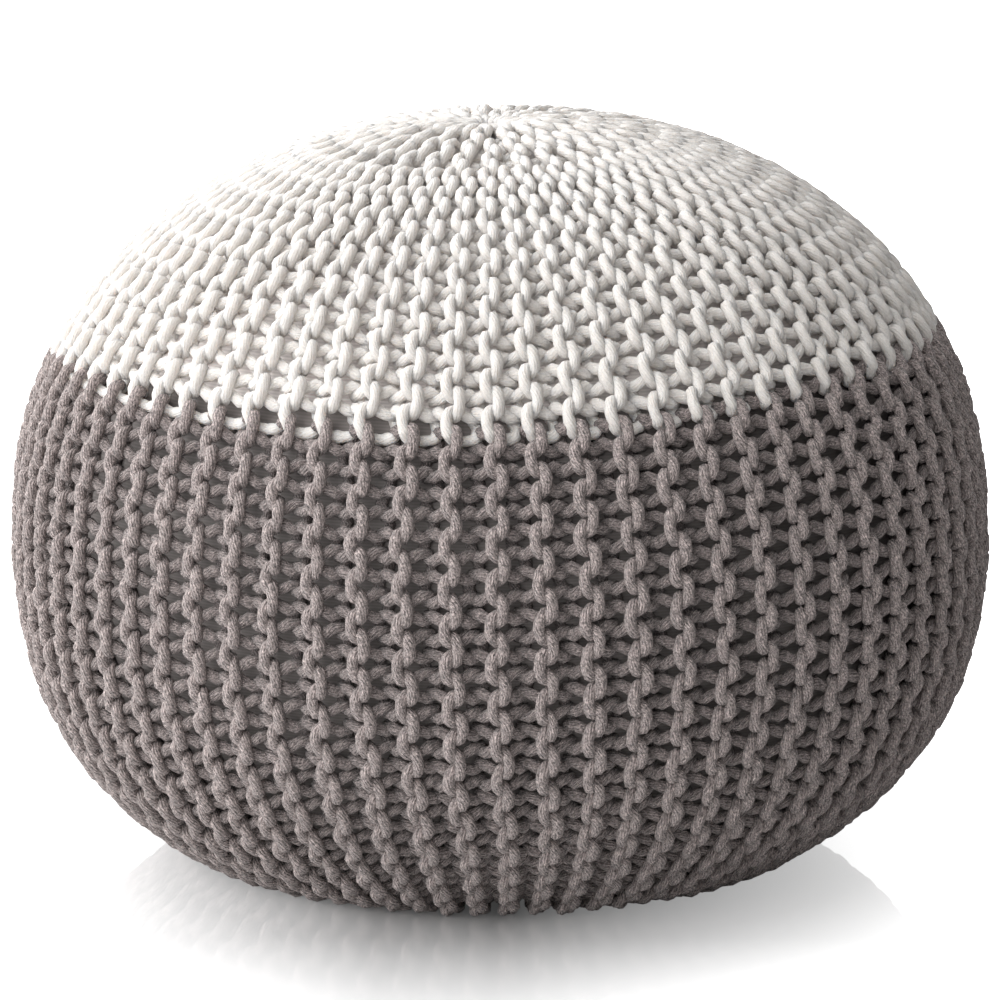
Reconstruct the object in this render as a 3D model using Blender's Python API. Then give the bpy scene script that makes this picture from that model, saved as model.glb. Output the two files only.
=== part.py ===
"""A round knitted floor pouf: a two-colour knitted cover over a filled bag.

Metres, +Z up. The origin is on the floor, under the middle of the pouf. The
cover is knitted from thick cotton cord, in white above the colour change and
in grey below it, and the bag inside shows through the gaps between stitches.
"""

import math

import bmesh
import bpy
from mathutils import Matrix, Vector

# Driving sizes.
DIAMETER = 0.500        # across the widest level
CROWN = 0.213           # from the widest level up to the top of the crown
DEPTH = 0.195           # from the widest level down to the unflattened bottom
REST_HEIGHT = 0.166     # height of the widest level above the floor
CROWN_FULLNESS = 2.20   # exponent of the crown's outline, 2 being an ellipse
BASE_FULLNESS = 2.36    # exponent of the lower outline, fuller than the crown
LEAN = math.radians(1.8)  # the filling has slumped a little to one side
BEND = 0.003            # height over which the flattened bottom bends up into the side

KNIT = 0.0170           # thickness of the knitted cover
GAP = 0.0003            # room between neighbouring pieces
COLOUR_CHANGE = math.radians(28.9)  # angle of the colour change above the widest level
DIMPLE = 0.0015         # depth of the dimple where the rows are drawn together
DIMPLE_RADIUS = 0.020

SEGMENTS = 56           # faces round the pouf
CROWN_RINGS = 13        # rings from the colour change to the top
BASE_RINGS = 17         # rings from the bottom to the colour change

WHITE_CORD = (0.78, 0.75, 0.70, 1.0)
GREY_CORD = (0.19, 0.165, 0.15, 1.0)
BAG_CLOTH = (0.55, 0.50, 0.46, 1.0)


def outline(angle):
    """Radius and height of the cover's outline at an angle from the widest level."""
    upper = angle >= 0.0
    power = CROWN_FULLNESS if upper else BASE_FULLNESS
    across, up = abs(math.cos(angle)), abs(math.sin(angle))
    reach = (across**power + up**power) ** (-1.0 / power)
    radius = 0.5 * DIAMETER * reach * across
    height = CROWN * reach * up if upper else -DEPTH * reach * up
    if upper:
        height -= DIMPLE * math.exp(-((radius / DIMPLE_RADIUS) ** 2))
    return Vector((radius, height))


def inset(angle, depth):
    """The outline's point at an angle, moved inwards by a depth."""
    step = math.radians(0.5)
    quarter = 0.5 * math.pi
    before = outline(max(angle - step, -quarter))
    after = outline(min(angle + step, quarter))
    along = (after - before).normalized()
    point = outline(angle) + depth * Vector((-along.y, along.x))
    at_a_pole = abs(angle) > quarter - 1e-6
    if at_a_pole:
        point.x = 0.0
    return point


def arc(start, end, rings, depth):
    """Points of the outline from one angle to another, moved inwards by a depth."""
    return [inset(start + (end - start) * i / rings, depth) for i in range(rings + 1)]


def settled(height, level):
    """Flattens what would lie below a level, with a soft bend up into the rest."""
    over = height - level
    if over >= BEND:
        return height
    return level + max(over + BEND, 0.0) ** 2 / (4.0 * BEND)


def turned(name, profile, depths, material, collection):
    """Turns a profile about the upright axis, then leans the body and flattens its base.

    Each profile point has a depth, how far inside the cover it is, and the
    base is flattened to that height above the floor.
    """
    mesh = bmesh.new()
    depth_of = mesh.verts.layers.float.new("depth")
    verts = []
    for point, depth in zip(profile, depths):
        vert = mesh.verts.new((point.x, 0.0, point.y))
        vert[depth_of] = depth
        verts.append(vert)
    edges = [mesh.edges.new(pair) for pair in zip(verts, verts[1:])]
    if profile[0].x > 0.0:
        edges.append(mesh.edges.new((verts[-1], verts[0])))
    bmesh.ops.spin(
        mesh,
        geom=verts + edges,
        cent=(0.0, 0.0, 0.0),
        axis=(0.0, 0.0, 1.0),
        angle=math.tau,
        steps=SEGMENTS,
        use_merge=True,
    )
    bmesh.ops.remove_doubles(mesh, verts=mesh.verts, dist=1e-6)
    lean = Matrix.Rotation(-LEAN, 4, "Y")
    for vert in mesh.verts:
        vert.co = lean @ vert.co
        vert.co.z = settled(vert.co.z + REST_HEIGHT, vert[depth_of])
    bmesh.ops.recalc_face_normals(mesh, faces=mesh.faces)
    data = bpy.data.meshes.new(name)
    mesh.to_mesh(data)
    mesh.free()
    data.materials.append(material)
    data.shade_smooth()
    data.set_sharp_from_angle(angle=math.radians(50.0))
    piece = bpy.data.objects.new(name, data)
    collection.objects.link(piece)
    return piece


def shell(name, start, end, rings, material, collection):
    """A bowl of knitted cover, from its rim at one angle to its pole at another."""
    outer = arc(start, end, rings, 0.0)
    inner = arc(start, end, rings, KNIT)
    # The rim is cut level, so that the two halves of the cover meet face to face.
    inner[0].y = outer[0].y
    profile = outer + inner[::-1]
    depths = [0.0] * len(outer) + [KNIT] * len(inner)
    return turned(name, profile, depths, material, collection)


def finish(name, colour, roughness):
    material = bpy.data.materials.new(name)
    material.use_nodes = True
    shader = material.node_tree.nodes["Principled BSDF"]
    shader.inputs["Base Color"].default_value = colour
    shader.inputs["Roughness"].default_value = roughness
    shader.inputs["Metallic"].default_value = 0.0
    material.diffuse_color = colour
    return material


def main():
    for left_over in list(bpy.data.objects):
        bpy.data.objects.remove(left_over, do_unlink=True)
    pouf = bpy.data.collections.new("knitted_pouf")
    bpy.context.scene.collection.children.link(pouf)

    top = 0.5 * math.pi
    rim_gap = 0.5 * GAP / (0.5 * DIAMETER)
    shell(
        "cover_upper",
        COLOUR_CHANGE + rim_gap,
        top,
        CROWN_RINGS,
        finish("white_cord", WHITE_CORD, 0.9),
        pouf,
    )
    shell(
        "cover_lower",
        COLOUR_CHANGE - rim_gap,
        -top,
        BASE_RINGS,
        finish("grey_cord", GREY_CORD, 0.9),
        pouf,
    )
    inside = KNIT + GAP
    profile = arc(top, COLOUR_CHANGE, CROWN_RINGS, inside)
    profile += arc(COLOUR_CHANGE, -top, BASE_RINGS, inside)[1:]
    turned(
        "inner_bag",
        profile,
        [inside] * len(profile),
        finish("bag_cloth", BAG_CLOTH, 0.8),
        pouf,
    )


main()
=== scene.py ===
"""A round floor pouf: two-colour garter-stitch cover of cotton cord over a filled bag.

The cover is built as it is knitted. Every stitch is a loop of real cord that
passes over and under the loops of its neighbouring rows. Rows run from the
underside to the crown, and pairs of rows make the upright ridges.
"""

import math
from functools import lru_cache

import bmesh
import bpy
import numpy as np
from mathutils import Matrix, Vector, noise


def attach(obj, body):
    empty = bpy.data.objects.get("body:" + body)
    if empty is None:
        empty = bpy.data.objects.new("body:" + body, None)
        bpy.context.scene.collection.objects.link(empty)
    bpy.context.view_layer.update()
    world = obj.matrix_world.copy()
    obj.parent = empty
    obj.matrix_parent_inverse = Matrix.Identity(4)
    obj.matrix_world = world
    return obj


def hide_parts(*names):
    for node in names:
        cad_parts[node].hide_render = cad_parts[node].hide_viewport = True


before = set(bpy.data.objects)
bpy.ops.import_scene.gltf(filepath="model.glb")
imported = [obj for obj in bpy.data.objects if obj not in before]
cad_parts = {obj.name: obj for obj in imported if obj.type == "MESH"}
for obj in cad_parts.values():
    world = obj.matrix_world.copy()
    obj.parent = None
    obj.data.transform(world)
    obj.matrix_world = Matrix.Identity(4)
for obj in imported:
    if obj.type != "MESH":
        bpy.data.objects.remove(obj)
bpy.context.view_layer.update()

bl_info = {
    "name": "Knitted pouf",
    "version": (1, 0, 0),
    "blender": (4, 5, 0),
    "location": "3D View > Sidebar > Pouf",
    "description": "Knits a round two-colour floor pouf, stitch by stitch",
    "category": "Object",
}

QUARTER = 0.5 * math.pi
BODY = "root"
CORD_SIDES = 8
# Depth under the outline at which the random fields are read for the knitting.
MIDDLE_DEPTH = 0.008
# Height of a row, from its ridge to its valley, at which its loops have their full size.
FULL_ROW = 0.0107
# Lengths along a row over which it widens from where it ends, and narrows to nothing beyond.
WIDENING = 0.022
NARROWING = 0.016
# The bag's faces round and up it, its depth under the outline, and how far above the cover's
# colour change its pale cloth starts.
BAG_STEPS = 84
BAG_RINGS = 54
BAG_DEPTH = 0.0148
PALE_CLOTH = 0.008
SOFT_LIGHT_SIZE = 2.4


# --------------------------------------------------------------------------
# Sizes and colours that a user may change
# --------------------------------------------------------------------------


def length(name, about, value, **more):
    return bpy.props.FloatProperty(
        name=name, description=about, default=value, unit="LENGTH", precision=5, **more
    )


def factor(name, about, value, low=0.0, high=1.0):
    return bpy.props.FloatProperty(
        name=name, description=about, default=value, min=low, max=high
    )


def colour(name, about, value):
    return bpy.props.FloatVectorProperty(
        name=name, description=about, default=value, subtype="COLOR", min=0.0, max=1.0
    )


def turn(name, about, degrees):
    return bpy.props.FloatProperty(
        name=name, description=about, default=math.radians(degrees), unit="ROTATION"
    )


class PoufShape(bpy.types.PropertyGroup):
    """The filled pouf's outline, which the cover lies on."""

    diameter: length("Diameter", "Across the widest level", 0.5)
    crown: length("Crown", "From the widest level up to the top", 0.213)
    depth: length("Depth", "From the widest level down to the unflattened bottom", 0.195)
    rest_height: length("Rest height", "Height of the widest level above the floor", 0.166)
    crown_fullness: factor("Crown fullness", "Exponent of the upper outline", 2.20, 1.5, 4.0)
    base_fullness: factor("Base fullness", "Exponent of the lower outline", 2.36, 1.5, 4.0)
    lean: turn("Lean", "How far the slumped filling leans to one side", 1.8)
    bend: length("Bend", "Height over which the flattened bottom bends up into the side", 0.003)
    colour_change: turn("Colour change", "Angle of the colour change above the widest level", 28.9)
    dimple: length("Dimple", "Depth of the dimple at the crown", 0.0015)
    dimple_radius: length("Dimple radius", "Radius of the dimple at the crown", 0.020)
    sag: length("Sag", "How far the rows sag at the front and pull up beside it", 0.004)


class PoufGauge(bpy.types.PropertyGroup):
    """The knitting's gauge and the way its loops lie."""

    ridges: bpy.props.IntProperty(
        name="Ridges", description="Upright ridges round the widest level", default=68, min=8
    )
    cord: length("Cord", "Diameter of the cord", 0.0060)
    stitch: length("Stitch", "Length of one stitch along a row", 0.0206)
    hook: length("Hook", "How far a loop reaches past the loop that it is drawn through", 0.0065)
    sway: length("Sway", "How far a loop's sides bulge along the row", 0.0042)
    crossing: length("Crossing", "How far a cord rises or dips where two cords cross", 0.0026)
    swing: length("Swing", "Distance between the ridges' level and the valleys' level", 0.0062)
    slack: length("Slack", "How far stitches stray from even spacing", 0.0027)
    lumps: factor("Lumps", "How much the cord's thickness varies along it", 0.26)
    first_ridge: turn("First ridge", "Where the first ridge stands round the pouf", 2.5)


class PoufLook(bpy.types.PropertyGroup):
    """Colours of the cords, the bag and the floor."""

    white: colour("White cord", "Natural white cotton", (0.745, 0.708, 0.675))
    grey: colour("Grey cord", "Warm grey cotton", (0.395, 0.329, 0.315))
    bag_white: colour("Bag, upper", "Cloth of the bag above the colour change", (0.95, 0.90, 0.88))
    bag_grey: colour("Bag, lower", "Cloth of the bag below the colour change", (0.26, 0.235, 0.225))
    floor: colour("Floor", "Pale studio floor", (0.65, 0.65, 0.65))


class PoufStage(bpy.types.PropertyGroup):
    """Camera and studio."""

    distance: length("Camera distance", "From the camera to the pouf's middle", 4.0)
    elevation: turn("Camera elevation", "Camera's angle above the floor", 12.2)
    aim_height: length("Aim height", "Height of the point the camera looks at", 0.1795)
    lens: bpy.props.FloatProperty(
        name="Lens", description="Focal length in millimetres", default=281.3, min=10.0
    )


# --------------------------------------------------------------------------
# The body that the cover is stretched over
# --------------------------------------------------------------------------


class Body:
    """The pouf's outline, with places on it given by azimuth, length up the side and depth."""

    def __init__(self, shape):
        self.shape = shape
        angles = np.linspace(-QUARTER, QUARTER, 1441)
        points = np.array([self.outline(a) for a in angles])
        steps = np.linalg.norm(np.diff(points, axis=0), axis=1)
        self.up = np.concatenate([[0.0], np.cumsum(steps)])
        along = np.gradient(points, self.up, axis=0)
        along /= np.linalg.norm(along, axis=1)[:, None]
        self.points = points
        self.outward = np.stack([along[:, 1], -along[:, 0]], axis=1)
        self.length = float(self.up[-1])
        self.change = float(np.interp(shape.colour_change, angles, self.up))

    def outline(self, angle):
        shape = self.shape
        upper = angle >= 0.0
        power = shape.crown_fullness if upper else shape.base_fullness
        across, up = abs(math.cos(angle)), abs(math.sin(angle))
        reach = (across**power + up**power) ** (-1.0 / power)
        radius = 0.5 * shape.diameter * reach * across
        height = reach * up * (shape.crown if upper else -shape.depth)
        if upper:
            height -= shape.dimple * math.exp(-((radius / shape.dimple_radius) ** 2))
        return radius, height

    def radius(self, up):
        return np.interp(up, self.up, self.points[:, 0])

    def place(self, azimuth, up, depth):
        """Points at these azimuths and lengths up the side, this deep under the outline."""
        base = [np.interp(up, self.up, self.points[:, i]) for i in (0, 1)]
        out = [np.interp(up, self.up, self.outward[:, i]) for i in (0, 1)]
        radius = base[0] - depth * out[0]
        height = base[1] - depth * out[1]
        lean = self.shape.lean
        x, y = radius * np.cos(azimuth), radius * np.sin(azimuth)
        x, z = (
            x * math.cos(lean) - height * math.sin(lean),
            x * math.sin(lean) + height * math.cos(lean),
        )
        return np.stack([x, y, self.settled(z + self.shape.rest_height, depth)], axis=-1)

    def settled(self, height, level):
        """Flattens what would lie below a level, with a soft bend up into the rest."""
        bend = self.shape.bend
        over = height - level
        bent = level + np.maximum(over + bend, 0.0) ** 2 / (4.0 * bend)
        return np.where(over >= bend, height, bent)

    def sag(self, azimuth, up):
        """How far the rows are pulled up the side here, which falls off towards the poles."""
        wave = -np.cos(3.0 * (azimuth + QUARTER))
        return self.shape.sag * wave * np.sin(math.pi * np.clip(up / self.length, 0.0, 1.0)) ** 2


# --------------------------------------------------------------------------
# The knitting
# --------------------------------------------------------------------------

# Where a ridge's rows turn back, as distances from the pole: short rows take up the fullness.
SHORT_ROWS = (0.012, 0.092, 0.043, 0.092)
# Where along a loop the cord gets its points, in radians from the middle of the hidden side.
LOOP_POINTS = (
    -2.87, -2.60, -2.32, -2.02, -1.68, -1.25, -0.68,
    0.0, 0.68, 1.25, 1.68, 2.02, 2.32, 2.60, 2.87, math.pi,
)
FEWER_POINTS = (-2.6, -2.1, -1.5, -0.7, 0.0, 0.7, 1.5, 2.1, 2.6, math.pi)


def strays(points, size, seed):
    """Smooth noise at points, about -1 to 1, changing over this distance."""
    shift = Vector((seed * 7.31, seed * 3.17, seed * 1.93))
    return np.array([noise.noise(Vector(p) / size + shift) for p in points])


@lru_cache(maxsize=None)
def crossings(height, hook, sway, stitch):
    """Where a loop's foot crosses the loop that it is drawn through, in radians from its foot.

    The sizes are in hundredths of a millimetre, which keeps the answers few.
    """
    reach = 0.5 * (height + hook)

    def side(angle):
        return stitch * angle / math.tau + sway * math.sin(2.0 * angle)

    def gap(angle):
        other = math.acos(max(-1.0, min(1.0, height / reach - math.cos(angle))))
        return side(angle) + side(other) - 0.5 * stitch, other

    middle = math.acos(min(1.0, 0.5 * height / reach))
    low, high = 0.0, middle
    if gap(high)[0] <= 0.0 or gap(low)[0] >= 0.0:
        return max(middle - 0.35, 0.15), middle + 0.35
    for _ in range(30):
        centre = 0.5 * (low + high)
        if gap(centre)[0] < 0.0:
            low = centre
        else:
            high = centre
    first, second = low, gap(low)[1]
    if second - first < 0.5:
        spread = 0.25 - 0.5 * (second - first)
        first, second = first - spread, second + spread
    return first, second


class Knit:
    """Places every stitch of the cover."""

    def __init__(self, body, gauge):
        self.body, self.gauge = body, gauge
        self.front = gauge.crossing + 0.5 * gauge.cord
        self.back = self.front + gauge.swing
        # A sinker of the right-hand rows falls on the colour change.
        self.start = body.change % gauge.stitch
        self.change = round((body.change - self.start) / gauge.stitch)
        self.grid = np.linspace(0.0, body.length, 600)
        count = gauge.ridges
        ends = np.array([SHORT_ROWS[i % 4] for i in range(count)])[:, None]
        from_pole = np.minimum(self.grid, body.length - self.grid)[None, :]
        beyond = from_pole - ends
        inside = np.clip(0.5 + 0.5 * beyond / WIDENING, 0.5, 1.0)
        outside = 0.5 * np.clip(1.0 + beyond / NARROWING, 0.0, 1.0)
        share = np.where(beyond >= 0.0, inside, outside)
        total = share.sum(axis=0)
        edge = np.cumsum(share, axis=0)
        self.middle = math.tau * (edge - 0.5 * share) / total + gauge.first_ridge
        self.width = math.tau * share / total

    def columns(self, ridge):
        """The lowest and highest stitch of a ridge's rows."""
        end, stitch = SHORT_ROWS[ridge % 4], self.gauge.stitch
        low = math.ceil((end - self.start) / stitch)
        high = math.floor((self.body.length - end - self.start) / stitch) - 1
        return low, high

    def lay(self, ridge, turns, front):
        """Azimuth, length up the side and depth of a row's cord, and how tightly it lies.

        turns counts stitches in full turns of the loop, whole at the foot. front
        is True for the rows whose feet show in the ridge.
        """
        gauge = self.gauge
        up = self.start + gauge.stitch * turns / math.tau
        up_in = np.clip(up, 0.0, self.body.length)
        radius = np.maximum(self.body.radius(up_in), 0.004)
        middle = np.interp(up_in, self.grid, self.middle[ridge])
        height = 0.5 * radius * np.interp(up_in, self.grid, self.width[ridge])
        full = np.clip(height / FULL_ROW, 0.0, 1.0)
        place = self.body.place(middle, up_in, MIDDLE_DEPTH)
        loose = 1.0 + 0.2 * strays(place, 0.06, 1) + 0.12 * strays(place, 0.014, 2)
        # The knitting is slackest at the front and back, and tighter at the sides.
        side = 2.0 * place[:, 0] / self.body.shape.diameter
        loose += 0.12 * side - 0.38 * side * side
        hook = gauge.hook * full**0.6 * loose
        sway = gauge.sway * full**0.3 * np.ones_like(up)
        reach = 0.5 * (height + hook)
        aside = -0.5 * height - reach * np.cos(turns)
        if front:
            aside += height
        aside += gauge.slack * full * (
            strays(place, 0.08, 3)
            + 0.6 * strays(place, 0.03, 4)
            + 0.25 * strays(place, 0.014, 5 + front)
        )
        along = up + sway * np.sin(2.0 * turns) + self.body.sag(middle, up_in)
        along += gauge.slack * full * (
            0.8 * strays(place, 0.07, 7)
            + 0.5 * strays(place, 0.026, 8)
            + 0.25 * strays(place, 0.013, 9 + front)
        )
        depth = self.levels(turns, height, hook, sway, front)
        depth -= 0.0008 * strays(place, 0.016, 11)
        pucker = np.exp(-((radius / 0.014) ** 2)) * (up > 0.5 * self.body.length)
        depth += 0.002 * pucker
        return np.stack([middle + aside / radius, along, depth], axis=1)

    def levels(self, turns, height, hook, sway, front):
        """Depth of the cord along a row, as it passes over and under its neighbours."""
        rise = self.gauge.crossing
        near, far = (self.front, self.back) if front else (self.back, self.front)
        out = -1.0 if front else 1.0
        depths = np.empty(len(turns))
        for i, angle in enumerate(turns):
            half = abs((angle + math.pi) % math.tau - math.pi)
            sizes = (round(1e5 * float(x[i])) for x in (height, hook, sway))
            first, second = crossings(*sizes, round(1e5 * self.gauge.stitch))
            at = (0.0, first, second, math.pi - second, math.pi - first, math.pi)
            level = (
                near + out * rise,
                near + out * rise,
                near - out * rise,
                far + out * rise,
                far - out * rise,
                far - out * rise,
            )
            depths[i] = eased(half, at, level)
        return depths


def eased(x, at, level):
    """Reads a value between the given ones, flat at each of them."""
    for x0, x1, y0, y1 in zip(at, at[1:], level, level[1:]):
        if x <= x1:
            share = (x - x0) / max(x1 - x0, 1e-6)
            return y0 + (y1 - y0) * share * share * (3.0 - 2.0 * share)
    return level[-1]


def row_turns(low, high, front, coarse_below):
    """Turns at which a row's cord has points, from one turn to another."""
    shift = math.pi if front else 0.0
    found = []
    for stitch in range(math.floor(low / math.tau) - 1, math.ceil(high / math.tau) + 2):
        points = FEWER_POINTS if stitch < coarse_below else LOOP_POINTS
        # The closely set points are where the cord shows in the ridge.
        found += [math.tau * stitch + shift + p for p in points]
    found = [t for t in sorted(found) if low < t < high]
    return np.array([low] + found + [high])


def blended(start, end, between, count):
    """A link through points between two laid stretches, as a smooth curve."""
    knots = np.concatenate([start[-2:], np.array(between).reshape(-1, 3), end[:2]])
    points = []
    for i in range(1, len(knots) - 2):
        p0, p1, p2, p3 = knots[i - 1 : i + 3]
        for t in np.linspace(0.0, 1.0, count, endpoint=False)[(1 if i == 1 else 0) :]:
            points.append(
                0.5
                * (
                    2.0 * p1
                    + (p2 - p0) * t
                    + (2.0 * p0 - 5.0 * p1 + 4.0 * p2 - p3) * t * t
                    + (3.0 * p1 - p0 - 3.0 * p2 + p3) * t**3
                )
            )
    return np.array(points)


# The turns back at the colour change, where one cord hooks round the other. Each row of these is a
# share of the way across to the next ridge's cord, stitches above the change, and a level from the
# ridge's, 0, to the valley's, 1.
WHITE_TURN = (
    (0.10, -0.40, 0.35), (0.42, -0.43, 0.75), (0.72, -0.40, 0.85),
    (0.95, -0.33, 1.0), (0.98, -0.05, 1.5), (0.84, 0.20, 1.4),
)
GREY_TURN = ((0.55, -0.19, 0.85),)


def cord_of(knit, ridges, white):
    """The laid cord of one colour over some neighbouring ridges, in one length."""
    change = math.tau * knit.change
    path = None
    for ridge in ridges:
        low, high = knit.columns(ridge)
        coarse = low + 6
        if white:
            rising = row_turns(change + 1.15, math.tau * high + math.pi + 1.3, False, coarse)
            falling = row_turns(change - 0.55, math.tau * (high + 1) + 1.2, True, coarse)
            rising = knit.lay(ridge, rising, False)
            falling = knit.lay(ridge, falling, True)[::-1]
        else:
            rising = row_turns(math.tau * low + math.pi - 1.3, change - 1.5, False, coarse)
            falling = row_turns(math.tau * low - 1.2, change - math.pi + 0.5, True, coarse)
            rising = knit.lay(ridge, rising, False)[::-1]
            falling = knit.lay(ridge, falling, True)
        if path is not None:
            path = turned_back(knit, path, rising, WHITE_TURN if white else GREY_TURN)
        else:
            path = rising
        # Where its rows end, the cord goes back beneath the ridge.
        middle = 0.5 * (path[-1] + falling[0])
        end = np.array([middle[0], middle[1], knit.back])
        path = np.concatenate([path, blended(path, falling, [end], 4), falling])
    return path


def turned_back(knit, path, rising, turn_points):
    """Links one ridge's cord to the next ridge's at the colour change."""
    start, gap = path[-1, 0], rising[0, 0] - path[-1, 0]
    between = []
    for across, stitches, level in turn_points:
        azimuth = start + across * gap
        up = knit.body.change + knit.body.sag(azimuth, knit.body.change) + stitches * knit.gauge.stitch
        between.append((azimuth, up, knit.front + level * knit.gauge.swing))
    return np.concatenate([path, blended(path, rising, between, 3), rising])


def cord_piece(name, body, gauge, paths, material):
    """Makes laid cords one mesh of tubes, with maps of the place along and round the cord."""
    curve = bpy.data.curves.new(name, "CURVE")
    curve.dimensions = "3D"
    curve.bevel_depth = 0.5 * gauge.cord
    curve.bevel_resolution = CORD_SIDES // 2 - 2
    curve.use_fill_caps = True
    lengths, sunk = [], []
    for path in paths:
        place = body.place(path[:, 0], path[:, 1], path[:, 2])
        spline = curve.splines.new("POLY")
        spline.points.add(len(place) - 1)
        spline.points.foreach_set("co", np.c_[place, np.ones(len(place))].ravel())
        spline.points.foreach_set("radius", 1.0 + gauge.lumps * strays(place, 0.0036, 21))
        steps = np.linalg.norm(np.diff(place, axis=0), axis=1)
        lengths.append(np.concatenate([[0.0], np.cumsum(steps)]))
        # How deep each point lies, which the cord material reads to paint light and shade between the
        # ridges.
        sunk.append((path[:, 2] - 0.5 * gauge.cord) / (gauge.swing + 2.0 * gauge.crossing))
    holder = bpy.data.objects.new(name + "_path", curve)
    bpy.context.scene.collection.objects.link(holder)
    graph = bpy.context.evaluated_depsgraph_get()
    mesh = bpy.data.meshes.new_from_object(holder.evaluated_get(graph))
    bpy.data.objects.remove(holder)
    bpy.data.curves.remove(curve)
    mesh.name = name
    map_cords(mesh, lengths, sunk, math.pi * gauge.cord)
    mesh.materials.clear()
    mesh.materials.append(material)
    piece = bpy.data.objects.new(name, mesh)
    bpy.context.scene.collection.objects.link(piece)
    return piece


def map_cords(mesh, lengths, sunk, girth):
    """Turns the tubes' own map into metres along the cord, and adds one that fills a square.

    The attribute "sunk" tells how deep the cord lies, from 0 on a ridge to 1 deep between the ridges;
    the cord material paints light and shade into the cord by it.
    """
    layer = mesh.uv_layers[0]
    layer.name = "Cord"
    flat = np.empty(2 * len(mesh.loops), np.float32)
    layer.uv.foreach_get("vector", flat)
    place = flat.reshape(-1, 2).astype(float)
    sides = np.empty(len(mesh.polygons), np.int32)
    mesh.polygons.foreach_get("loop_total", sides)
    first = np.empty(len(mesh.polygons), np.int32)
    mesh.polygons.foreach_get("loop_start", first)
    quads = np.flatnonzero(sides == 4)
    whole = sum(x[-1] for x in lengths)
    strips = max(1, round(math.sqrt(whole / girth)))
    strip = whole / strips
    square = np.full_like(place, 0.5 / strips)
    depth = np.zeros(len(place), np.float32)
    at = before = 0
    for along, deep in zip(lengths, sunk):
        faces = quads[at : at + CORD_SIDES * (len(along) - 1)]
        corners = first[faces][:, None] + np.arange(4)
        index = np.rint(place[corners, 0] * (len(along) - 1)).astype(int)
        run = before + along[index]
        line = np.floor(run.min(axis=1) / strip)[:, None]
        # The square holds the cord in strips, which keep a small margin from each other.
        square[corners, 0] = 0.005 + 0.985 * (run - line * strip) / strip
        square[corners, 1] = (line + 0.06 + 0.88 * place[corners, 1]) / strips
        place[corners, 0] = run
        depth[corners] = deep[index]
        at += len(faces)
        before += along[-1]
    layer.uv.foreach_set("vector", place.astype(np.float32).ravel())
    baked = mesh.uv_layers.new(name="OFBake", do_init=False)
    baked.uv.foreach_set("vector", square.clip(0.0, 1.0).astype(np.float32).ravel())
    mesh.uv_layers.active = mesh.uv_layers["Cord"]
    mesh.attributes.new("sunk", "FLOAT", "CORNER").data.foreach_set("value", depth)


# --------------------------------------------------------------------------
# Materials
# --------------------------------------------------------------------------


class Nodes:
    """Short names for adding nodes to a tree."""

    def __init__(self, tree):
        self.tree = tree

    def add(self, kind, **settings):
        node = self.tree.nodes.new(kind)
        for name, value in settings.items():
            setattr(node, name, value)
        return node

    def link(self, source, target):
        self.tree.links.new(source, target)

    def feed(self, socket, value):
        if isinstance(value, bpy.types.NodeSocket):
            self.link(value, socket)
        else:
            socket.default_value = value

    def math(self, operation, a, b=None, c=None):
        node = self.add("ShaderNodeMath", operation=operation)
        for socket, value in zip(node.inputs, (a, b, c)):
            if value is not None:
                self.feed(socket, value)
        return node.outputs[0]

    def spread(self, value, low, high, new_low, new_high):
        node = self.add("ShaderNodeMapRange")
        for socket, given in zip(node.inputs, (value, low, high, new_low, new_high)):
            self.feed(socket, given)
        return node.outputs[0]

    def noise(self, vector, scale, detail=2.0, roughness=0.5):
        node = self.add("ShaderNodeTexNoise")
        self.link(vector, node.inputs["Vector"])
        node.inputs["Scale"].default_value = scale
        node.inputs["Detail"].default_value = detail
        node.inputs["Roughness"].default_value = roughness
        return node.outputs["Fac"]

    def scaled_colour(self, colour, amount):
        node = self.add("ShaderNodeVectorMath", operation="SCALE")
        self.feed(node.inputs[0], colour)
        self.feed(node.inputs["Scale"], amount)
        return node.outputs[0]


def new_group(name, inputs, outputs):
    group = bpy.data.node_groups.new(name, "ShaderNodeTree")
    for direction, sockets in (("INPUT", inputs), ("OUTPUT", outputs)):
        for socket_name, kind, value in sockets:
            socket = group.interface.new_socket(
                name=socket_name, in_out=direction, socket_type="NodeSocket" + kind
            )
            if value is not None:
                socket.default_value = value
    nodes = Nodes(group)
    return group, nodes, nodes.add("NodeGroupInput"), nodes.add("NodeGroupOutput")


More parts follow.
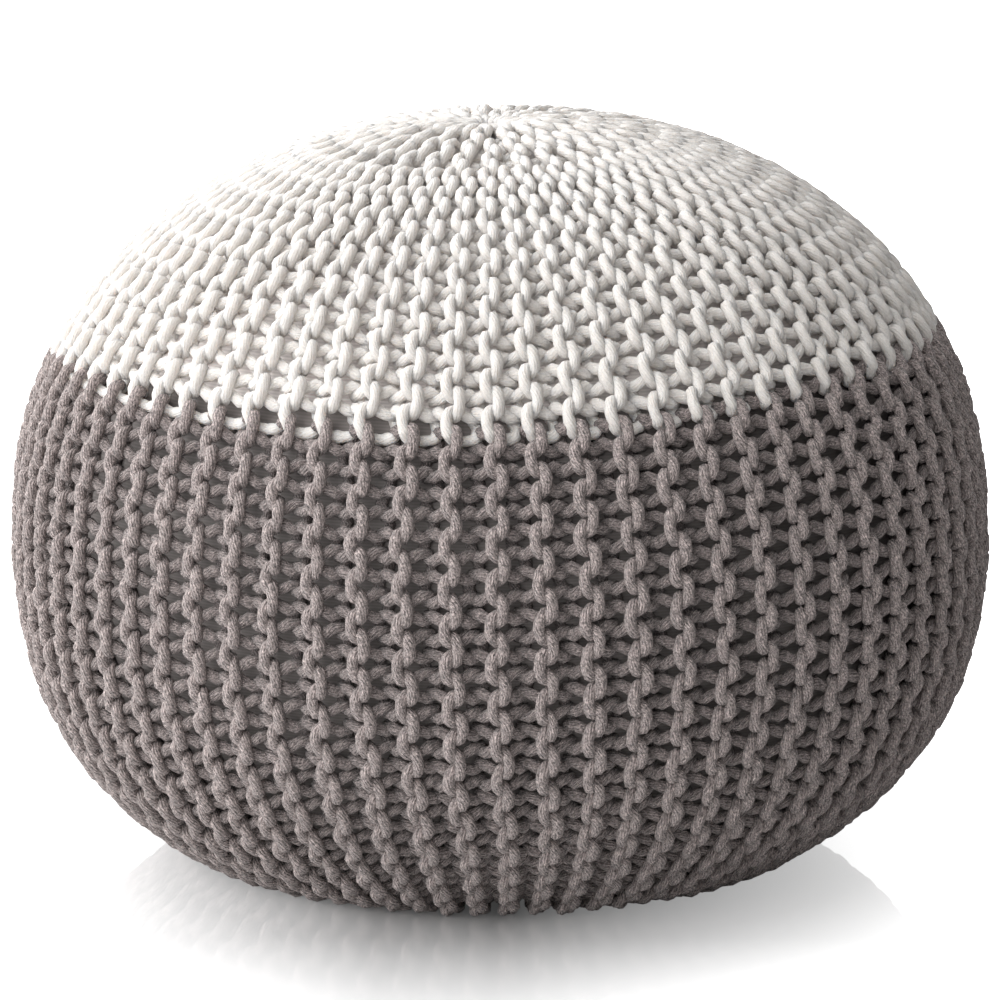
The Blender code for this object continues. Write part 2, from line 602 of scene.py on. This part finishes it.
def twisted_cord_group():
    """Strands that wind round a cord, each of them broken up by the fibres on it."""
    group, nodes, given, out = new_group(
        "TwistedCord",
        [
            ("Strands", "Float", 12.0),
            ("Lay", "Float", 0.050),
            ("Fleck Length", "Float", 0.0018),
            ("Fuzz", "Float", 1.0),
        ],
        [("Height", "Float", None), ("Shade", "Float", None)],
    )
    uv = nodes.add("ShaderNodeUVMap", uv_map="Cord")
    split = nodes.add("ShaderNodeSeparateXYZ")
    nodes.link(uv.outputs[0], split.inputs[0])
    along, around = split.outputs[0], split.outputs[1]
    wound = nodes.math("ADD", around, nodes.math("DIVIDE", along, given.outputs["Lay"]))
    phase = nodes.math("MULTIPLY", wound, given.outputs["Strands"])
    strand = nodes.math("ABSOLUTE", nodes.math("SINE", nodes.math("MULTIPLY", phase, math.pi)))
    run = nodes.math("DIVIDE", along, given.outputs["Fleck Length"])

    def flecks(across, lengthwise, seed, detail):
        place = nodes.add("ShaderNodeCombineXYZ")
        nodes.link(nodes.math("MULTIPLY", phase, across), place.inputs[0])
        nodes.link(nodes.math("MULTIPLY", run, lengthwise), place.inputs[1])
        place.inputs[2].default_value = seed
        return nodes.noise(place.outputs[0], 1.0, detail, 0.6)

    long_flecks = flecks(1.3, 0.8, 3.0, 3.0)
    short_flecks = flecks(2.3, 2.0, 8.0, 3.0)
    fibres = nodes.math("ADD", long_flecks, short_flecks)
    height = nodes.math(
        "ADD",
        nodes.math("MULTIPLY", strand, 0.40),
        nodes.math("MULTIPLY", fibres, given.outputs["Fuzz"]),
    )
    # Painted shade: the cord is made darker in the grooves between its strands.
    painted_light = nodes.spread(strand, 0.0, 0.8, 0.82, 1.0)
    streak = nodes.spread(long_flecks, 0.34, 0.66, 0.42, 1.55)
    speck = nodes.spread(short_flecks, 0.36, 0.64, 0.42, 1.55)
    shade = nodes.math("MULTIPLY", nodes.math("MULTIPLY", painted_light, streak), speck)
    nodes.link(height, out.inputs["Height"])
    nodes.link(shade, out.inputs["Shade"])
    return group


def new_material(name):
    material = bpy.data.materials.new(name)
    material.use_nodes = True
    nodes = Nodes(material.node_tree)
    return material, nodes, material.node_tree.nodes["Principled BSDF"]


def shared_group(name, build):
    """The node group of this name, built the first time that it is asked for."""
    return bpy.data.node_groups.get(name) or build()


def cord_material(name, base, contrast, painted_valley_light, rough_depth, softness):
    """Matt twisted cotton in one colour, with painted light deep between the ridges that scales its
    brightness there: painted shade where the factor is under one, painted fill light where it is over.
    """
    material, nodes, shader = new_material(name)
    twist = nodes.add("ShaderNodeGroup")
    twist.node_tree = shared_group("TwistedCord", twisted_cord_group)
    where = nodes.add("ShaderNodeTexCoord").outputs["Object"]
    patches = nodes.spread(nodes.noise(where, 9.0, 2.0), 0.3, 0.7, 0.94, 1.05)
    shade = nodes.math(
        "ADD", nodes.math("MULTIPLY", twist.outputs["Shade"], contrast), 1.0 - contrast
    )
    shade = nodes.math("MULTIPLY", shade, patches)
    sunk = nodes.add("ShaderNodeAttribute", attribute_name="sunk").outputs["Fac"]
    # Painted light by depth: the factor darkens the cord deep between the ridges as painted shade when
    # under one, and lightens it as painted fill light when over one.
    shade = nodes.math("MULTIPLY", shade, nodes.spread(sunk, 0.25, 0.80, 1.0, painted_valley_light))
    nodes.link(nodes.scaled_colour(base[:], shade), shader.inputs["Base Color"])
    rough = nodes.spread(twist.outputs["Shade"], 0.4, 1.2, 0.92, 0.80)
    nodes.link(rough, shader.inputs["Roughness"])
    bump = nodes.add("ShaderNodeBump")
    bump.inputs["Strength"].default_value = 1.0
    bump.inputs["Distance"].default_value = rough_depth
    nodes.link(twist.outputs["Height"], bump.inputs["Height"])
    nodes.link(bump.outputs[0], shader.inputs["Normal"])
    shader.inputs["Specular IOR Level"].default_value = 0.25
    shader.inputs["Subsurface Weight"].default_value = softness
    shader.inputs["Subsurface Radius"].default_value = (1.0, 0.9, 0.8)
    shader.inputs["Subsurface Scale"].default_value = 0.004
    shader.inputs["Sheen Weight"].default_value = 0.25
    shader.inputs["Sheen Roughness"].default_value = 0.6
    return material


def bag_material(look):
    """Plain woven cloth in two colours, which meet at the cover's colour change."""
    material, nodes, shader = new_material("bag_cloth")
    where = nodes.add("ShaderNodeTexCoord").outputs["Object"]
    split = nodes.add("ShaderNodeSeparateXYZ")
    nodes.link(where, split.inputs[0])
    threads = [
        nodes.math("SINE", nodes.math("MULTIPLY", split.outputs[i], 2200.0)) for i in range(3)
    ]
    weave = nodes.math("MULTIPLY", nodes.math("ADD", threads[0], threads[1]), threads[2])
    above = nodes.add("ShaderNodeAttribute", attribute_name="above_change").outputs["Fac"]
    upper = nodes.spread(above, -0.001, 0.001, 0.0, 1.0)
    mix = nodes.add("ShaderNodeMix", data_type="RGBA")
    nodes.link(upper, mix.inputs["Factor"])
    # The colour sockets of a Mix node come after those for numbers and vectors.
    mix.inputs[6].default_value = (*look.bag_grey, 1.0)
    mix.inputs[7].default_value = (*look.bag_white, 1.0)
    creases = nodes.noise(where, 40.0, 2.0)
    ribs = nodes.math("SINE", nodes.math("MULTIPLY", split.outputs[2], 4200.0))
    # Painted shade: the cloth is darker in the hollows of its creases and lighter on their rises; the
    # fine ribs are a pattern of the cloth.
    shade = nodes.spread(creases, 0.3, 0.7, 0.86, 1.10)
    shade = nodes.math("MULTIPLY", shade, nodes.spread(ribs, -1.0, 1.0, 0.86, 1.06))
    nodes.link(nodes.scaled_colour(mix.outputs[2], shade), shader.inputs["Base Color"])
    bump = nodes.add("ShaderNodeBump")
    bump.inputs["Strength"].default_value = 0.3
    bump.inputs["Distance"].default_value = 0.0008
    nodes.link(nodes.math("MULTIPLY_ADD", weave, 0.05, creases), bump.inputs["Height"])
    nodes.link(bump.outputs[0], shader.inputs["Normal"])
    nodes.link(nodes.spread(creases, 0.3, 0.7, 0.7, 0.85), shader.inputs["Roughness"])
    return material


def floor_material(look):
    """Pale studio floor, polished near the pouf, with painted light that glows for the camera, faint
    near the pouf and bright farther away.
    """
    material, nodes, shader = new_material("studio_floor")
    where = nodes.add("ShaderNodeTexCoord").outputs["Object"]
    away = nodes.add("ShaderNodeVectorMath", operation="LENGTH")
    nodes.link(where, away.inputs[0])
    polish = nodes.spread(away.outputs["Value"], 0.20, 0.40, 1.0, 0.0)
    cloud = nodes.spread(nodes.noise(where, 1.5, 2.0), 0.3, 0.7, 0.995, 1.0)
    nodes.link(nodes.scaled_colour(look.floor[:], cloud), shader.inputs["Base Color"])
    nodes.link(polish, shader.inputs["Coat Weight"])
    shader.inputs["Coat Roughness"].default_value = 0.02
    shader.inputs["Coat IOR"].default_value = 2.2
    shader.inputs["Roughness"].default_value = 0.5
    # Painted light: the floor glows for the camera, faint round the pouf and brighter to the sides and
    # far ahead, which paints out the shadows that the lamps cast there.
    split = nodes.add("ShaderNodeSeparateXYZ")
    nodes.link(where, split.inputs[0])
    aside = nodes.math("ABSOLUTE", nodes.math("ADD", split.outputs[0], 0.03))
    ahead = nodes.math("ABSOLUTE", split.outputs[1])
    painted_light = nodes.math(
        "ADD",
        nodes.spread(aside, 0.03, 0.25, 0.06, 1.06),
        nodes.spread(ahead, 0.19, 0.51, 0.0, 0.80),
    )
    # The painted glow is seen only by the camera, and throws nothing up at the pouf.
    seen = nodes.add("ShaderNodeLightPath").outputs["Is Camera Ray"]
    painted_glow = nodes.scaled_colour((1.0, 1.0, 1.0), nodes.math("MULTIPLY", painted_light, seen))
    nodes.link(painted_glow, shader.inputs["Emission Color"])
    shader.inputs["Emission Strength"].default_value = 1.0
    return material


# --------------------------------------------------------------------------
# Operators
# --------------------------------------------------------------------------


def sectors(count, parts):
    """Splits ridges into runs of neighbours."""
    edges = [round(i * count / parts) for i in range(parts + 1)]
    return [range(a, b) for a, b in zip(edges, edges[1:])]


def knit_cover(context, white, parts, node, material):
    """Knits one colour of the cover, as this many pieces side by side."""
    gauge = context.scene.pouf_gauge
    body = Body(context.scene.pouf_shape)
    knit = Knit(body, gauge)
    for i, ridges in enumerate(sectors(gauge.ridges, parts)):
        path = cord_of(knit, ridges, white)
        name = f"{'white' if white else 'grey'}_rows_{i + 1}"
        piece = cord_piece(name, body, gauge, [path], material)
        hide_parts(node)
        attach(piece, BODY)


class POUF_OT_white_rows(bpy.types.Operator):
    """Knit the white part of the cover, from the colour change up to the crown"""

    bl_idname = "pouf.white_rows"
    bl_label = "Knit White Rows"

    def execute(self, context):
        base = context.scene.pouf_look.white
        # Painted fill light: the white cord is made lighter deep between its ridges.
        material = cord_material(
            "white_cord", base, contrast=0.12, painted_valley_light=1.30, rough_depth=0.0006, softness=0.50
        )
        knit_cover(context, True, 2, "cover_upper", material)
        return {"FINISHED"}


class POUF_OT_grey_rows(bpy.types.Operator):
    """Knit the grey part of the cover, from the colour change down to the underside"""

    bl_idname = "pouf.grey_rows"
    bl_label = "Knit Grey Rows"

    def execute(self, context):
        base = context.scene.pouf_look.grey
        # Painted shade: the grey cord is made darker deep between its ridges.
        material = cord_material(
            "grey_cord", base, contrast=1.0, painted_valley_light=0.52, rough_depth=0.0014, softness=0.0
        )
        knit_cover(context, False, 4, "cover_lower", material)
        return {"FINISHED"}


class POUF_OT_inner_bag(bpy.types.Operator):
    """Make the filled bag that shows between the stitches"""

    bl_idname = "pouf.inner_bag"
    bl_label = "Make Inner Bag"

    def execute(self, context):
        body = Body(context.scene.pouf_shape)
        mesh = bmesh.new()
        up = np.linspace(0.0, body.length, BAG_RINGS + 1)
        verts = [
            mesh.verts.new((body.radius(u) if 0 < i < BAG_RINGS else 0.0, 0.0, u))
            for i, u in enumerate(up)
        ]
        edges = [mesh.edges.new(pair) for pair in zip(verts, verts[1:])]
        bmesh.ops.spin(
            mesh, geom=verts + edges, cent=(0, 0, 0), axis=(0, 0, 1),
            angle=math.tau, steps=BAG_STEPS, use_merge=True,
        )
        bmesh.ops.remove_doubles(mesh, verts=mesh.verts, dist=1e-6)
        mesh.verts.ensure_lookup_table()
        at = np.array([v.co for v in mesh.verts])
        azimuth, up = np.arctan2(at[:, 1], at[:, 0]), at[:, 2]
        rough = body.place(azimuth, up, np.full(len(up), BAG_DEPTH))
        depths = BAG_DEPTH - 0.0012 * strays(rough, 0.03, 11) - 0.0006 * strays(rough, 0.012, 12)
        for vert, place in zip(mesh.verts, body.place(azimuth, up, depths)):
            vert.co = place
        bmesh.ops.recalc_face_normals(mesh, faces=mesh.faces)
        data = bpy.data.meshes.new("filled_bag")
        mesh.to_mesh(data)
        mesh.free()
        data.shade_smooth()
        above = data.attributes.new("above_change", "FLOAT", "POINT")
        above.data.foreach_set("value", up - body.change - body.sag(azimuth, up) - PALE_CLOTH)
        data.materials.append(bag_material(context.scene.pouf_look))
        piece = bpy.data.objects.new("filled_bag", data)
        context.scene.collection.objects.link(piece)
        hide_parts("inner_bag")
        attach(piece, BODY)
        return {"FINISHED"}


def soft_light(name, place, aim, size, power):
    """Adds a square soft light that faces the aim."""
    data = bpy.data.lights.new(name, "AREA")
    data.shape = "SQUARE"
    data.size = size
    data.energy = power
    light = bpy.data.objects.new(name, data)
    bpy.context.scene.collection.objects.link(light)
    light.location = place
    light.rotation_euler = (Vector(aim) - Vector(place)).to_track_quat("-Z", "Y").to_euler()


class POUF_OT_stage(bpy.types.Operator):
    """Set up the floor, the soft studio light and the camera"""

    bl_idname = "pouf.stage"
    bl_label = "Set Up Stage"

    def execute(self, context):
        scene, stage = context.scene, context.scene.pouf_stage
        mesh = bmesh.new()
        bmesh.ops.create_grid(mesh, x_segments=1, y_segments=1, size=20.0)
        data = bpy.data.meshes.new("studio_floor")
        mesh.to_mesh(data)
        mesh.free()
        data.materials.append(floor_material(scene.pouf_look))
        floor = bpy.data.objects.new("studio_floor", data)
        scene.collection.objects.link(floor)

        middle = Vector((0.0, 0.0, stage.aim_height))
        away = Vector((0.0, -math.cos(stage.elevation), math.sin(stage.elevation)))
        camera_data = bpy.data.cameras.new("camera")
        camera_data.lens = stage.lens
        camera_data.sensor_width = 36.0
        camera_data.clip_end = 100.0
        camera = bpy.data.objects.new("camera", camera_data)
        scene.collection.objects.link(camera)
        camera.location = middle + stage.distance * away
        camera.rotation_euler = (-away).to_track_quat("-Z", "Y").to_euler()
        scene.camera = camera

        target = (0.0, 0.0, 0.18)
        soft_light("key_light", (-2.4, -1.9, 1.7), target, SOFT_LIGHT_SIZE, 25.0)
        soft_light("top_light", (-0.3, 0.6, 2.6), target, SOFT_LIGHT_SIZE, 8.0)
        # The room is brightest on the left, white behind the pouf and faint in front of it.
        world = bpy.data.worlds.new("studio")
        world.use_nodes = True
        nodes = Nodes(world.node_tree)
        sky = world.node_tree.nodes["Background"]
        where = nodes.add("ShaderNodeTexCoord").outputs["Generated"]
        side = nodes.add("ShaderNodeSeparateXYZ")
        nodes.link(where, side.inputs[0])
        around = nodes.spread(side.outputs[0], -1.0, 0.4, 3.5, 0.0)
        behind = nodes.spread(side.outputs[1], 0.85, 0.95, 0.0, 1.05)
        before = nodes.spread(side.outputs[1], -0.9, -0.3, 0.06, 0.0)
        strength = nodes.math("ADD", nodes.math("MAXIMUM", around, behind), before)
        nodes.link(strength, sky.inputs["Strength"])
        sky.inputs["Color"].default_value = (1.0, 1.0, 1.0, 1.0)
        scene.world = world
        scene.view_settings.view_transform = "Standard"
        return {"FINISHED"}


class POUF_PT_panel(bpy.types.Panel):
    """Steps that make the pouf, in order"""

    bl_idname = "POUF_PT_panel"
    bl_label = "Knitted Pouf"
    bl_space_type = "VIEW_3D"
    bl_region_type = "UI"
    bl_category = "Pouf"

    def draw(self, context):
        layout = self.layout
        for step in STEPS:
            layout.operator(step.bl_idname)
        for group in (getattr(context.scene, name) for name in GROUPS):
            column = layout.column(align=True)
            for name in group.__annotations__:
                column.prop(group, name)


GROUPS = {
    "pouf_shape": PoufShape,
    "pouf_gauge": PoufGauge,
    "pouf_look": PoufLook,
    "pouf_stage": PoufStage,
}
STEPS = (POUF_OT_stage, POUF_OT_inner_bag, POUF_OT_white_rows, POUF_OT_grey_rows)


def register():
    for item in (*GROUPS.values(), *STEPS, POUF_PT_panel):
        bpy.utils.register_class(item)
    for name, group in GROUPS.items():
        setattr(bpy.types.Scene, name, bpy.props.PointerProperty(type=group))


def unregister():
    for name in GROUPS:
        delattr(bpy.types.Scene, name)
    for item in (POUF_PT_panel, *reversed(STEPS), *reversed(GROUPS.values())):
        bpy.utils.unregister_class(item)


def main():
    register()
    bpy.ops.pouf.stage()
    bpy.ops.pouf.inner_bag()
    bpy.ops.pouf.white_rows()
    bpy.ops.pouf.grey_rows()


if __name__ == "__main__":
    main()
